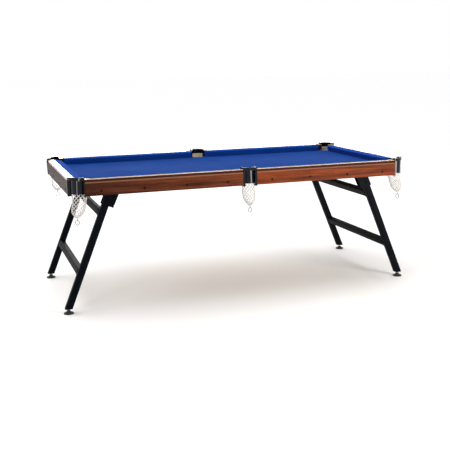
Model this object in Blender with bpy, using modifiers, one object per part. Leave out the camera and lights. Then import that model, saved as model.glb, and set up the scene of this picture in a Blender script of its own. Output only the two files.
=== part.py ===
"""Seven-foot pool table on two folding leg frames.

X runs along the table, Y across it and Z up. The origin is on the floor under the middle of the
table. Sizes are in metres. Insets are measured inwards from the table's outer faces.
"""
import math

import bmesh
import bpy
from mathutils import Matrix, Vector

# ---- driving dimensions -------------------------------------------------------------------
TABLE_LENGTH = 2.130
TABLE_WIDTH = 1.156
RAIL_TOP = 0.800
NOSE_INSET = 0.090            # outer face to cushion nose, so the playfield is 1.950 x 0.976
GAP = 0.0003                  # clearance between pieces that touch

# ---- top ----------------------------------------------------------------------------------
CLOTH_TOP = 0.7603
CLOTH_THICKNESS = 0.001
BED_TOP = CLOTH_TOP - CLOTH_THICKNESS - GAP
BED_THICKNESS = 0.0172
BED_BOTTOM = BED_TOP - BED_THICKNESS
BED_INSET = 0.0225
BED_NOTCH_CLEARANCE = 0.0015

APRON_INSET = 0.0015
APRON_BACK_INSET = 0.0215
APRON_BOTTOM = 0.706
APRON_TOP = 0.7858
APRON_ROUNDING = 0.006

RAIL_EDGE_INSET = 0.005
RAIL_INNER_INSET = 0.056
RAIL_LIP_BOTTOM = 0.7863
RAIL_BLOCK_INSET = 0.0222

CUSHION_BACK_INSET = RAIL_INNER_INSET + GAP
CUSHION_TOP = 0.7990
CUSHION_FOOT = CLOTH_TOP + 2 * GAP

# ---- pockets ------------------------------------------------------------------------------
CORNER_CENTRE = 0.066         # inset of a corner pocket's centre from both outer faces
CORNER_MOUTH_RADIUS = 0.0436
CORNER_REACH = 0.088          # inset of the corner casting's ends
CORNER_FACING_BACK = 0.116    # inset of a cushion's back corner from the end face
CORNER_FACING_NOSE = 0.165
MIDDLE_CENTRE = 0.044
MIDDLE_MOUTH_RADIUS = 0.038
MIDDLE_REACH = 0.0435         # half the middle casting's width
MIDDLE_FACING_BACK = 0.0500   # half the middle pocket's mouth, at the cushion's back and nose
MIDDLE_FACING_NOSE = 0.0590
END_CLEARANCE = 0.0005        # between a casting and the apron or rail beside it

CAP_INSET = 0.002
CAP_BOTTOM = 0.794
CAP_TOP = 0.812
CAP_SHOULDER = 0.078          # where the corner cap's flat edges meet its rounded corner
CAP_CORNER_CENTRE = 0.100     # inset of the centre that the corner is rounded about
WALL_THICKNESS = 0.0032       # the round outer wall behind the casting's flanges
WALL_BOTTOM = 0.718
FLANGE_BOTTOM = 0.700
CORNER_FLANGE_THICKNESS = 0.006
CORNER_FLANGE_DEPTH = 0.0245
MIDDLE_FLANGE_THICKNESS = 0.0125
MIDDLE_FLANGE_DEPTH = 0.0215
LINER_THICKNESS = 0.0031
LINER_BOTTOM = 0.716
LINER_TOP = 0.757
NET_THICKNESS = 0.002
NET_TOP = 0.738
NET_SHOULDER = 0.640            # the bag is straight down to here, then draws in to its tip
NET_WAIST = 0.596
NET_BOTTOM = 0.573
NET_TIP_RADIUS = 0.012

# ---- legs ---------------------------------------------------------------------------------
SPLAY = math.atan(0.406)      # each leg frame leans outwards by about 22 degrees
PIVOT_X = 0.8364
PIVOT_Z = 0.655
LEG_Y = 0.438
TUBE = 0.040
TUBE_WALL = 0.002
LEG_TOP = 0.683
LEG_BOTTOM = 0.030
UPPER_BAR_Z = 0.578
LOWER_BAR_Z = 0.236
PIVOT_HOLE_RADIUS = 0.0046
PIVOT_STUD_RADIUS = 0.0042

BEAM_WIDTH = 0.110
BEAM_X = 0.805
BEAM_BOTTOM = 0.7058
CENTRE_BEAM_WIDTH = 0.070
CENTRE_BEAM_HALF_SPAN = 0.485

BRACKET_TOP = BEAM_BOTTOM - GAP
BRACKET_PLATE = 0.0045
CHEEK_THICKNESS = 0.003
CHEEK_CLEARANCE = 0.0006
CHEEK_BOTTOM = 0.610
CHEEK_OUTER = 0.027           # cheek's edges, measured level from the leg's centre line
CHEEK_INNER_LOW = 0.050         # short enough to clear the upper crossbar when folded
CHEEK_INNER_HIGH = 0.056
STOP_THICKNESS = 0.004
STOP_BOTTOM = 0.6775

KNOB_RADIUS = 0.019
KNOB_THICKNESS = 0.014
KNOB_LOBES = 5
STUD_HEAD_RADIUS = 0.008
STUD_HEAD_THICKNESS = 0.005
STUD_GRIP = 0.0105              # length of stud inside the knob

# ---- feet ---------------------------------------------------------------------------------
PAD_RADIUS = 0.029
PAD_HEIGHT = 0.007
NECK_BASE_RADIUS = 0.017
NECK_TOP_RADIUS = 0.009
NECK_HEIGHT = 0.022
STEM_RADIUS = 0.005
STEM_BORE_RADIUS = 0.0056
STEM_TOP = 0.060
STEM_NUT_RADIUS = 0.0095
FOOT_PLATE = 0.005

PARTS = "folding_pool_table"
FACETS = 32
NET_FACETS = 12


# ---- scene, materials and meshes ----------------------------------------------------------
def clear_scene():
    for thing in list(bpy.data.objects):
        bpy.data.objects.remove(thing, do_unlink=True)


def make_material(name, colour, roughness, metallic=0.0):
    material = bpy.data.materials.new(name)
    material.use_nodes = True
    shader = material.node_tree.nodes["Principled BSDF"]
    shader.inputs["Base Color"].default_value = (*colour, 1.0)
    shader.inputs["Roughness"].default_value = roughness
    shader.inputs["Metallic"].default_value = metallic
    return material


def make_materials():
    return {
        "cloth": make_material("blue_cloth", (0.025, 0.075, 0.33), 0.95),
        "cap": make_material("rail_laminate", (0.50, 0.33, 0.17), 0.25),
        "apron": make_material("apron_laminate", (0.22, 0.075, 0.045), 0.40),
        "board": make_material("fibreboard", (0.36, 0.25, 0.15), 0.80),
        "steel": make_material("painted_steel", (0.012, 0.013, 0.018), 0.42, 0.1),
        "plastic": make_material("black_plastic", (0.008, 0.008, 0.009), 0.22),
        "net": make_material("net_cord", (0.72, 0.66, 0.60), 0.90),
        "zinc": make_material("zinc_steel", (0.45, 0.45, 0.44), 0.35, 0.9),
        "rubber": make_material("black_rubber", (0.010, 0.010, 0.010), 0.75),
    }


def mesh_from(bm, name):
    bmesh.ops.recalc_face_normals(bm, faces=bm.faces)
    mesh = bpy.data.meshes.new(name)
    bm.to_mesh(mesh)
    bm.free()
    return mesh


def box_mesh(low, high):
    size = Vector(high) - Vector(low)
    centre = (Vector(high) + Vector(low)) / 2
    bm = bmesh.new()
    matrix = Matrix.Translation(centre) @ Matrix.Diagonal((*size, 1.0))
    bmesh.ops.create_cube(bm, size=1.0, matrix=matrix)
    return mesh_from(bm, "box")


def round_mesh(radius, bottom, top, facets=FACETS, top_radius=None, centre=(0.0, 0.0)):
    """A cylinder or a cone along Z."""
    bm = bmesh.new()
    place = Matrix.Translation((centre[0], centre[1], (bottom + top) / 2))
    radius_above = radius if top_radius is None else top_radius
    bmesh.ops.create_cone(bm, cap_ends=True, segments=facets, radius1=radius,
                          radius2=radius_above, depth=top - bottom, matrix=place)
    return mesh_from(bm, "round")


def object_from(mesh, name, collection):
    thing = bpy.data.objects.new(name, mesh)
    collection.objects.link(thing)
    return thing


def evaluated_mesh(thing):
    """The object's mesh with its modifiers, welded; the object itself is removed."""
    graph = bpy.context.evaluated_depsgraph_get()
    mesh = bpy.data.meshes.new_from_object(thing.evaluated_get(graph))
    bpy.data.objects.remove(thing, do_unlink=True)
    bm = bmesh.new()
    bm.from_mesh(mesh)
    bmesh.ops.remove_doubles(bm, verts=bm.verts, dist=0.00001)
    bmesh.ops.recalc_face_normals(bm, faces=bm.faces)
    bm.to_mesh(mesh)
    bm.free()
    return mesh


def outline_mesh(outlines, low, high):
    """Closed outlines in XY, filled and raised from low to high; an inner one makes a hole."""
    curve = bpy.data.curves.new("outline", "CURVE")
    curve.dimensions = "2D"
    curve.fill_mode = "BOTH"
    curve.extrude = (high - low) / 2
    for points in outlines:
        spline = curve.splines.new("POLY")
        spline.points.add(len(points) - 1)
        for target, point in zip(spline.points, points):
            target.co = (point[0], point[1], 0.0, 1.0)
        spline.use_cyclic_u = True
    mesh = evaluated_mesh(object_from(curve, "outline", bpy.context.scene.collection))
    mesh.transform(Matrix.Translation((0.0, 0.0, (low + high) / 2)))
    return mesh


def combined_mesh(base, others, operation):
    """The base mesh with the others added to it (UNION) or cut from it (DIFFERENCE)."""
    scene_objects = bpy.context.scene.collection
    body = object_from(base, "base", scene_objects)
    tools = []
    for other in others:
        tool = object_from(other, "tool", scene_objects)
        modifier = body.modifiers.new("join", "BOOLEAN")
        modifier.operation = operation
        modifier.object = tool
        tools.append(tool)
    mesh = evaluated_mesh(body)
    for tool in tools:
        bpy.data.objects.remove(tool, do_unlink=True)
    return mesh


def bevelled_mesh(mesh, width, angle=math.radians(50)):
    thing = object_from(mesh, "bevelled", bpy.context.scene.collection)
    modifier = thing.modifiers.new("edges", "BEVEL")
    modifier.width = width
    modifier.segments = 2
    modifier.limit_method = "ANGLE"
    modifier.angle_limit = angle
    return evaluated_mesh(thing)


def turned_mesh(profile, facets):
    """A solid of revolution about Z; the profile is (radius, height) pairs, down its outside."""
    mesh = bpy.data.meshes.new("profile")
    points = [(radius, 0.0, height) for radius, height in profile]
    mesh.from_pydata(points, [(i, i + 1) for i in range(len(points) - 1)], [])
    thing = object_from(mesh, "turned", bpy.context.scene.collection)
    screw = thing.modifiers.new("turn", "SCREW")
    screw.steps = facets
    screw.render_steps = facets
    screw.use_merge_vertices = True
    screw.merge_threshold = 0.00005
    return evaluated_mesh(thing)


def arc(centre, radius, start, end, count):
    """Points on an arc, both ends included; angles in degrees."""
    points = []
    for i in range(count + 1):
        angle = math.radians(start + (end - start) * i / count)
        points.append((centre[0] + radius * math.cos(angle), centre[1] + radius * math.sin(angle)))
    return points


class Table:
    """Holds the collection and the materials, and adds the finished pieces."""

    def __init__(self):
        self.parts = bpy.data.collections.new(PARTS)
        bpy.context.scene.collection.children.link(self.parts)
        self.materials = make_materials()
        self.anchors = {}

    def anchor(self, name, location, parent=None):
        empty = bpy.data.objects.new(name, None)
        empty.empty_display_size = 0.05
        empty.location = location
        if parent is not None:
            empty.parent = self.anchors[parent]
            empty.location = Vector(location) - self.world_place(parent)
        self.parts.objects.link(empty)
        self.anchors[name] = empty

    def world_place(self, name):
        place = Vector((0.0, 0.0, 0.0))
        empty = self.anchors[name]
        while empty is not None:
            place += empty.location
            empty = empty.parent
        return place

    def add(self, name, mesh, material, location=(0.0, 0.0, 0.0), turn=0.0, anchor=None):
        """Place a mesh. Its location is in world space, also when it hangs on an anchor."""
        if not mesh.materials:
            mesh.materials.append(self.materials[material])
        mesh.shade_smooth()
        mesh.set_sharp_from_angle(angle=math.radians(35))
        thing = object_from(mesh, name, self.parts)
        thing.location = location
        thing.rotation_euler = (0.0, 0.0, math.radians(turn))
        if anchor is not None:
            thing.parent = self.anchors[anchor]
            thing.location = Vector(location) - self.world_place(anchor)
        return thing


# ---- the four sides -----------------------------------------------------------------------
# On each side, local x runs along the side and local y is the inset from the outer face.
SIDES = {
    "front": ((0.0, -TABLE_WIDTH / 2, 0.0), 0.0, TABLE_LENGTH),
    "back": ((0.0, TABLE_WIDTH / 2, 0.0), 180.0, TABLE_LENGTH),
    "left": ((-TABLE_LENGTH / 2, 0.0, 0.0), -90.0, TABLE_WIDTH),
    "right": ((TABLE_LENGTH / 2, 0.0, 0.0), 90.0, TABLE_WIDTH),
}


def side_runs(side):
    """(name, start, end) of the straight runs on a side, between its pocket castings."""
    half = SIDES[side][2] / 2 - CORNER_REACH - END_CLEARANCE
    if side in ("left", "right"):
        return [(side, -half, half)]
    middle = MIDDLE_REACH + END_CLEARANCE
    low_name, high_name = ("left", "right") if side == "front" else ("right", "left")
    return [(f"{side}_{low_name}", -half, -middle), (f"{side}_{high_name}", middle, half)]


def run_mesh(profile, start, end):
    """A profile of (inset, height) points, drawn out along local x."""
    mesh = outline_mesh([profile], start, end)
    mesh.transform(Matrix(((0, 0, 1, 0), (1, 0, 0, 0), (0, 1, 0, 0), (0, 0, 0, 1))))
    return mesh


def trimmed_mesh(mesh, cuts):
    """Cut by upright planes, each given by two (x, y) points; the left of the line is kept."""
    bm = bmesh.new()
    bm.from_mesh(mesh)
    for first, second in cuts:
        along = Vector((second[0] - first[0], second[1] - first[1], 0.0))
        outwards = Vector((along.y, -along.x, 0.0))
        bmesh.ops.bisect_plane(bm, geom=bm.verts[:] + bm.edges[:] + bm.faces[:], dist=0.000001,
                               plane_co=(first[0], first[1], 0.0), plane_no=outwards,
                               clear_outer=True)
        open_edges = [edge for edge in bm.edges if edge.is_boundary]
        bmesh.ops.holes_fill(bm, edges=open_edges)
    return mesh_from(bm, "trimmed")


def add_aprons(table):
    profile = [(APRON_BACK_INSET, APRON_TOP), (APRON_BACK_INSET, APRON_BOTTOM),
               (APRON_INSET, APRON_BOTTOM)]
    rounding_centre = (APRON_INSET + APRON_ROUNDING, APRON_TOP - APRON_ROUNDING)
    profile += arc(rounding_centre, APRON_ROUNDING, 180, 90, 5)
    for side, (place, turn, _) in SIDES.items():
        for name, start, end in side_runs(side):
            table.add(f"{name}_apron", run_mesh(profile, start, end), "apron", place, turn)


def add_rails(table):
    rounding = 0.002
    profile = [(RAIL_BLOCK_INSET, RAIL_LIP_BOTTOM), (RAIL_EDGE_INSET, RAIL_LIP_BOTTOM)]
    edge_centre = (RAIL_EDGE_INSET + rounding, RAIL_TOP - rounding)
    profile += arc(edge_centre, rounding, 180, 90, 3)
    profile += [(RAIL_INNER_INSET, RAIL_TOP), (RAIL_INNER_INSET, BED_TOP + GAP),
                (RAIL_BLOCK_INSET, BED_TOP + GAP)]
    for side, (place, turn, _) in SIDES.items():
        for name, start, end in side_runs(side):
            table.add(f"{name}_rail", run_mesh(profile, start, end), "cap", place, turn)


def cushion_profile():
    nose_top = CUSHION_TOP - 0.0010
    nose_radius = 0.0028
    nose_centre = (NOSE_INSET - nose_radius, nose_top - nose_radius)
    profile = [(CUSHION_BACK_INSET, CUSHION_FOOT), (CUSHION_BACK_INSET, CUSHION_TOP)]
    profile += arc(nose_centre, nose_radius, 90, -40, 5)
    profile += [(CUSHION_BACK_INSET + 0.012, CUSHION_FOOT)]
    return profile


def add_cushions(table):
    profile = cushion_profile()
    for side, (place, turn, length) in SIDES.items():
        half = length / 2
        nose = half - CORNER_FACING_NOSE
        back = half - CORNER_FACING_BACK
        corner_low = ((-back, CUSHION_BACK_INSET), (-nose, NOSE_INSET))
        corner_high = ((nose, NOSE_INSET), (back, CUSHION_BACK_INSET))
        middle_low = ((-MIDDLE_FACING_NOSE, NOSE_INSET), (-MIDDLE_FACING_BACK, CUSHION_BACK_INSET))
        middle_high = ((MIDDLE_FACING_BACK, CUSHION_BACK_INSET), (MIDDLE_FACING_NOSE, NOSE_INSET))
        runs = side_runs(side)
        for name, start, end in runs:
            ends = [corner_low, corner_high]
            if len(runs) == 2:
                ends = [corner_low, middle_low] if end < 0 else [middle_high, corner_high]
            mesh = trimmed_mesh(run_mesh(profile, start, end), [(b, a) for a, b in ends])
            table.add(f"{name}_cushion", mesh, "cloth", place, turn)


# ---- bed ----------------------------------------------------------------------------------
def pocket_places():
    """(name, x, y, turn, is_corner); turn puts local x and y along the table's inward sides."""
    half_length = TABLE_LENGTH / 2
    half_width = TABLE_WIDTH / 2
    return [
        ("front_left", -half_length, -half_width, 0.0, True),
        ("front_right", half_length, -half_width, 90.0, True),
        ("back_right", half_length, half_width, 180.0, True),
        ("back_left", -half_length, half_width, 270.0, True),
        ("front_middle", 0.0, -half_width, 0.0, False),
        ("back_middle", 0.0, half_width, 180.0, False),
    ]


def pocket_centre(x, y, is_corner):
    inset = CORNER_CENTRE if is_corner else MIDDLE_CENTRE
    centre_x = x - math.copysign(inset, x) if is_corner else x
    return centre_x, y - math.copysign(inset, y)


def notched_board(inset, bottom, top):
    low = (-TABLE_LENGTH / 2 + inset, -TABLE_WIDTH / 2 + inset, bottom)
    high = (TABLE_LENGTH / 2 - inset, TABLE_WIDTH / 2 - inset, top)
    cutters = []
    for _, x, y, _, is_corner in pocket_places():
        mouth = CORNER_MOUTH_RADIUS if is_corner else MIDDLE_MOUTH_RADIUS
        radius = mouth + LINER_THICKNESS + BED_NOTCH_CLEARANCE
        centre = pocket_centre(x, y, is_corner)
        cutters.append(round_mesh(radius, bottom - 0.01, top + 0.01, centre=centre))
        if is_corner:
            depth = CORNER_FLANGE_DEPTH + END_CLEARANCE
            reach = CORNER_REACH + END_CLEARANCE
            for size in ((CORNER_CENTRE, CORNER_CENTRE), (reach, depth), (depth, reach)):
                corner_x = sorted((x, x - math.copysign(size[0], x)))
                corner_y = sorted((y, y - math.copysign(size[1], y)))
                cutters.append(box_mesh((corner_x[0], corner_y[0], bottom - 0.01),
                                        (corner_x[1], corner_y[1], top + 0.01)))
    return combined_mesh(box_mesh(low, high), cutters, "DIFFERENCE")


def add_bed(table):
    table.add("bed_board", notched_board(BED_INSET, BED_BOTTOM, BED_TOP), "board")
    cloth = notched_board(CUSHION_BACK_INSET + GAP, CLOTH_TOP - CLOTH_THICKNESS, CLOTH_TOP)
    table.add("bed_cloth", cloth, "cloth")


def add_beams(table):
    span = TABLE_WIDTH / 2 - BED_INSET
    top = BED_BOTTOM - GAP
    for name, side in (("left", -1), ("right", 1)):
        low = (side * BEAM_X - BEAM_WIDTH / 2, -span, BEAM_BOTTOM)
        high = (side * BEAM_X + BEAM_WIDTH / 2, span, top)
        table.add(f"{name}_leg_beam", box_mesh(low, high), "board")
    low = (-CENTRE_BEAM_WIDTH / 2, -CENTRE_BEAM_HALF_SPAN, BEAM_BOTTOM)
    high = (CENTRE_BEAM_WIDTH / 2, CENTRE_BEAM_HALF_SPAN, top)
    table.add("centre_beam", box_mesh(low, high), "board")


# ---- pocket castings ----------------------------------------------------------------------
def liner_mesh(centre, mouth_radius):
    outside = arc(centre, mouth_radius + LINER_THICKNESS - GAP, 0, 360, FACETS)[:-1]
    inside = arc(centre, mouth_radius - GAP, 0, 360, FACETS)[:-1]
    return outline_mesh([outside, inside], LINER_BOTTOM, LINER_TOP)


def corner_cap_outline():
    """A rounded corner plate with the mouth cut out of it, open towards the playfield."""
    middle = CAP_CORNER_CENTRE
    shoulder = Vector((CAP_SHOULDER - middle, CAP_INSET - middle))
    turn = math.degrees(math.atan2(-shoulder.x, -shoulder.y))
    end_angle = math.degrees(math.asin((CORNER_REACH - CORNER_CENTRE) / CORNER_MOUTH_RADIUS))
    outline = [(CORNER_REACH, CAP_INSET)]
    outline += arc((middle, middle), shoulder.length, 270 - turn, 180 + turn, 8)
    outline += [(CAP_INSET, CORNER_REACH)]
    centre = (CORNER_CENTRE, CORNER_CENTRE)
    outline += arc(centre, CORNER_MOUTH_RADIUS, 180 - end_angle, 270 + end_angle, 24)
    return outline


def corner_casting_mesh():
    centre = (CORNER_CENTRE, CORNER_CENTRE)
    wall_inner = CORNER_MOUTH_RADIUS + 0.0002
    wall = arc(centre, wall_inner + WALL_THICKNESS, 155, 295, 16)
    wall += arc(centre, wall_inner, 295, 155, 16)
    flange_top = CAP_BOTTOM + 0.001
    root = CORNER_REACH - CORNER_FLANGE_THICKNESS
    pieces = [
        outline_mesh([wall], WALL_BOTTOM, CAP_BOTTOM + 0.002),
        box_mesh((root, 0.0, FLANGE_BOTTOM), (CORNER_REACH, CORNER_FLANGE_DEPTH, flange_top)),
        box_mesh((0.0, root, FLANGE_BOTTOM), (CORNER_FLANGE_DEPTH, CORNER_REACH, flange_top)),
        liner_mesh(centre, CORNER_MOUTH_RADIUS),
    ]
    cap = outline_mesh([corner_cap_outline()], CAP_BOTTOM, CAP_TOP)
    return combined_mesh(cap, pieces, "UNION")


def middle_cap_outline():
    outline = [(-MIDDLE_REACH, CAP_INSET), (MIDDLE_REACH, CAP_INSET)]
    outline += [(MIDDLE_REACH, RAIL_INNER_INSET), (MIDDLE_MOUTH_RADIUS, RAIL_INNER_INSET)]
    outline += arc((0.0, MIDDLE_CENTRE), MIDDLE_MOUTH_RADIUS, 0, -180, 20)
    outline += [(-MIDDLE_MOUTH_RADIUS, RAIL_INNER_INSET), (-MIDDLE_REACH, RAIL_INNER_INSET)]
    return outline


def middle_casting_mesh():
    centre = (0.0, MIDDLE_CENTRE)
    wall_inner = MIDDLE_MOUTH_RADIUS + 0.0002
    wall = arc(centre, wall_inner + WALL_THICKNESS, 180, 360, 20)
    wall += arc(centre, wall_inner, 360, 180, 20)
    pieces = [outline_mesh([wall], WALL_BOTTOM, CAP_BOTTOM + 0.002)]
    for side in (-1, 1):
        edges = sorted((side * MIDDLE_REACH, side * (MIDDLE_REACH - MIDDLE_FLANGE_THICKNESS)))
        pieces.append(box_mesh((edges[0], 0.0, FLANGE_BOTTOM),
                               (edges[1], MIDDLE_FLANGE_DEPTH, CAP_BOTTOM + 0.001)))
    pieces.append(liner_mesh(centre, MIDDLE_MOUTH_RADIUS))
    cap = outline_mesh([middle_cap_outline()], CAP_BOTTOM, CAP_TOP)
    return combined_mesh(cap, pieces, "UNION")


def net_mesh(mouth_radius):
    """A bag with an open top: its inside going up, its rim, then its outside going down."""
    top_radius = mouth_radius - 0.0016
    full_radius = mouth_radius - 0.001
    outside = [(top_radius, NET_TOP), (top_radius, LINER_BOTTOM - 0.001),
               (full_radius, LINER_BOTTOM - 0.008), (full_radius, NET_SHOULDER),
               (0.68 * full_radius, NET_WAIST), (NET_TIP_RADIUS, NET_BOTTOM)]
    inside = [(radius - NET_THICKNESS, height) for radius, height in outside[:-1]]
    inner_tip = (NET_TIP_RADIUS - NET_THICKNESS, NET_BOTTOM + NET_THICKNESS)
    profile = [(0.0, inner_tip[1]), inner_tip] + inside[::-1] + outside + [(0.0, NET_BOTTOM)]
    return turned_mesh(profile, NET_FACETS)


def add_pockets(table):
    castings = {True: corner_casting_mesh(), False: middle_casting_mesh()}
    nets = {True: net_mesh(CORNER_MOUTH_RADIUS), False: net_mesh(MIDDLE_MOUTH_RADIUS)}
    for name, x, y, turn, is_corner in pocket_places():
        table.add(f"{name}_pocket_casting", castings[is_corner], "plastic", (x, y, 0.0), turn)
        centre_x, centre_y = pocket_centre(x, y, is_corner)
        table.add(f"{name}_pocket_net", nets[is_corner], "net", (centre_x, centre_y, 0.0))


# ---- legs ---------------------------------------------------------------------------------
def leg_offset(height):
    """How far outwards from the pivot the leg's centre line is at a height."""
    return (PIVOT_Z - height) * math.tan(SPLAY)


def leaning_box(side, half_x, half_y, low, high):
    """A box between two heights that leans along the leg; its origin is the pivot."""
    lean = -side * math.tan(SPLAY)
    middle = (low + high) / 2
    matrix = Matrix(((2 * half_x, 0, lean * (high - low), side * leg_offset(middle)),
                     (0, 2 * half_y, 0, 0),
                     (0, 0, high - low, middle - PIVOT_Z),
                     (0, 0, 0, 1)))
    bm = bmesh.new()
    bmesh.ops.create_cube(bm, size=1.0, matrix=matrix)
    return mesh_from(bm, "leaning_box")


def cross_pin(radius, half_length):
    """A cylinder along Y through the origin."""
    mesh = round_mesh(radius, -half_length, half_length, facets=24)
    mesh.transform(Matrix.Rotation(math.radians(90), 4, "X"))
    return mesh


def leg_mesh(side):
    level_half = TUBE / 2 / math.cos(SPLAY)
    level_wall = TUBE_WALL / math.cos(SPLAY)
    outer = leaning_box(side, level_half, TUBE / 2, LEG_BOTTOM, LEG_TOP)
    floor = LEG_BOTTOM + FOOT_PLATE
    cavity = leaning_box(side, level_half - level_wall, TUBE / 2 - TUBE_WALL, floor, LEG_TOP + 0.01)
    foot_x = side * leg_offset(LEG_BOTTOM)
    low = LEG_BOTTOM - PIVOT_Z - 0.01
    bore = round_mesh(STEM_BORE_RADIUS, low, low + 0.02, facets=24, centre=(foot_x, 0.0))
    pivot_hole = cross_pin(PIVOT_HOLE_RADIUS, TUBE)
    return combined_mesh(outer, [cavity, bore, pivot_hole], "DIFFERENCE")


def crossbar_mesh(height, side):
    half = TUBE / 2
    outer = [(-half, -half), (half, -half), (half, half), (-half, half)]
    inner = [(x * (1 - 2 * TUBE_WALL / TUBE), y * (1 - 2 * TUBE_WALL / TUBE)) for x, y in outer]
    reach = LEG_Y - half - GAP
    mesh = outline_mesh([outer, inner], -reach, reach)
    mesh.transform(Matrix.Rotation(math.radians(90), 4, "X"))
    mesh.transform(Matrix.Rotation(-side * SPLAY, 4, "Y"))
    mesh.transform(Matrix.Translation((side * leg_offset(height), 0.0, height - PIVOT_Z)))
    return mesh


def cheek_outline(side):
    """The side plate of a bracket, in X and Z, with the pivot as origin."""
    top = BRACKET_TOP - BRACKET_PLATE / 2
    slope = math.tan(SPLAY)
    inner_x = leg_offset(CHEEK_BOTTOM) - CHEEK_INNER_LOW
    # The lower edge is square to the leg, so it rises towards the cheek's outer edge.
    rise = (leg_offset(CHEEK_BOTTOM) + CHEEK_OUTER - inner_x) / (1 + slope ** 2)
    points = [
        (leg_offset(top) + CHEEK_OUTER, top),
        (inner_x + rise, CHEEK_BOTTOM + slope * rise),
        (inner_x, CHEEK_BOTTOM),
        (leg_offset(top) - CHEEK_INNER_HIGH, top),
    ]
    return [(side * x, height - PIVOT_Z) for x, height in points]


def stud_mesh():
    """The pivot stud along Z, its head below; the bracket's cheeks are welded round it."""
    cheek_face = TUBE / 2 + CHEEK_CLEARANCE + CHEEK_THICKNESS
    shank = round_mesh(PIVOT_STUD_RADIUS, -cheek_face - 0.002, cheek_face + GAP + STUD_GRIP, facets=24)
    head = round_mesh(STUD_HEAD_RADIUS, -cheek_face - STUD_HEAD_THICKNESS, 0.001 - cheek_face, facets=24)
    return combined_mesh(shank, [head], "UNION")


def bracket_mesh(side, row):
    """Two cheeks and a stop under a top plate, around the head of the leg, with the pivot stud."""
    inner_y = TUBE / 2 + CHEEK_CLEARANCE
    outer_y = inner_y + CHEEK_THICKNESS
    plate_bottom = BRACKET_TOP - BRACKET_PLATE
    edges = sorted((side * (leg_offset(BRACKET_TOP) + CHEEK_OUTER + 0.004),
                    side * (leg_offset(BRACKET_TOP) - CHEEK_INNER_HIGH - 0.004)))
    plate = box_mesh((edges[0], -outer_y - 0.012, plate_bottom - PIVOT_Z),
                     (edges[1], outer_y + 0.012, BRACKET_TOP - PIVOT_Z))
    pieces = []
    for low_y, high_y in ((-outer_y, -inner_y), (inner_y, outer_y)):
        cheek = outline_mesh([cheek_outline(side)], -high_y, -low_y)
        cheek.transform(Matrix.Rotation(math.radians(90), 4, "X"))
        pieces.append(cheek)
    stop = leaning_box(side, STOP_THICKNESS / 2, outer_y - CHEEK_THICKNESS / 2, STOP_BOTTOM,
                       BRACKET_TOP - BRACKET_PLATE / 2)
    level_half = TUBE / 2 / math.cos(SPLAY)
    stop.transform(Matrix.Translation((-side * (level_half + GAP + STOP_THICKNESS / 2), 0.0, 0.0)))
    pieces.append(stop)
    stud = stud_mesh()
    stud.transform(Matrix.Rotation(math.radians(row * 90), 4, "X"))
    pieces.append(stud)
    return combined_mesh(plate, pieces, "UNION")


def knob_mesh():
    """A lobed hand knob along Z, bored for the end of the stud."""
    cheek_face = TUBE / 2 + CHEEK_CLEARANCE + CHEEK_THICKNESS + GAP
    outline = []
    count = KNOB_LOBES * 8
    for i in range(count):
        angle = 2 * math.pi * i / count
        radius = KNOB_RADIUS * (0.90 + 0.10 * math.cos(KNOB_LOBES * angle))
        outline.append((radius * math.cos(angle), radius * math.sin(angle)))
    grip = outline_mesh([outline], cheek_face + 0.003, cheek_face + KNOB_THICKNESS)
    grip = bevelled_mesh(grip, 0.0015)
    boss = round_mesh(0.010, cheek_face, cheek_face + 0.004, facets=24)
    solid = combined_mesh(grip, [boss], "UNION")
    bore = round_mesh(PIVOT_HOLE_RADIUS, cheek_face - 0.01, cheek_face + STUD_GRIP + GAP, facets=24)
    return combined_mesh(solid, [bore], "DIFFERENCE")


def add_leg_frames(table):
    for side_name, side in (("left", -1), ("right", 1)):
        hinge = f"{side_name}_leg_hinge"
        table.anchor(hinge, (side * PIVOT_X, 0.0, PIVOT_Z))
        leg = leg_mesh(side)
        for row_name, row in (("front", -1), ("back", 1)):
            place = (side * PIVOT_X, row * LEG_Y, PIVOT_Z)
            name = f"{side_name}_{row_name}"
            table.add(f"{name}_leg", leg, "steel", place, anchor=hinge)
            table.add(f"{name}_leg_bracket", bracket_mesh(side, row), "steel", place)
            knob = knob_mesh()
            knob.transform(Matrix.Rotation(math.radians(row * 90), 4, "X"))
            table.add(f"{name}_pivot_knob", knob, "plastic", place)
        hinge_place = (side * PIVOT_X, 0.0, PIVOT_Z)
        upper = crossbar_mesh(UPPER_BAR_Z, side)
        table.add(f"{side_name}_upper_crossbar", upper, "steel", hinge_place, anchor=hinge)
        lower = crossbar_mesh(LOWER_BAR_Z, side)
        table.add(f"{side_name}_lower_crossbar", lower, "steel", hinge_place, anchor=hinge)


# ---- feet ---------------------------------------------------------------------------------
def pad_mesh():
    profile = [(0.0, NECK_HEIGHT), (NECK_TOP_RADIUS, NECK_HEIGHT), (NECK_BASE_RADIUS, PAD_HEIGHT + 0.001),
               (PAD_RADIUS - 0.0015, PAD_HEIGHT), (PAD_RADIUS, PAD_HEIGHT - 0.0015),
               (PAD_RADIUS, 0.001), (PAD_RADIUS - 0.001, 0.0), (0.0, 0.0)]
    return turned_mesh(profile, FACETS)


def stem_mesh():
    nut_bottom = NECK_HEIGHT + GAP
    nut_top = LEG_BOTTOM - GAP
    shank = round_mesh(STEM_RADIUS, nut_bottom, STEM_TOP, facets=24)
    nut = round_mesh(STEM_NUT_RADIUS, nut_bottom, nut_top, facets=6)
    return combined_mesh(nut, [shank], "UNION")


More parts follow.
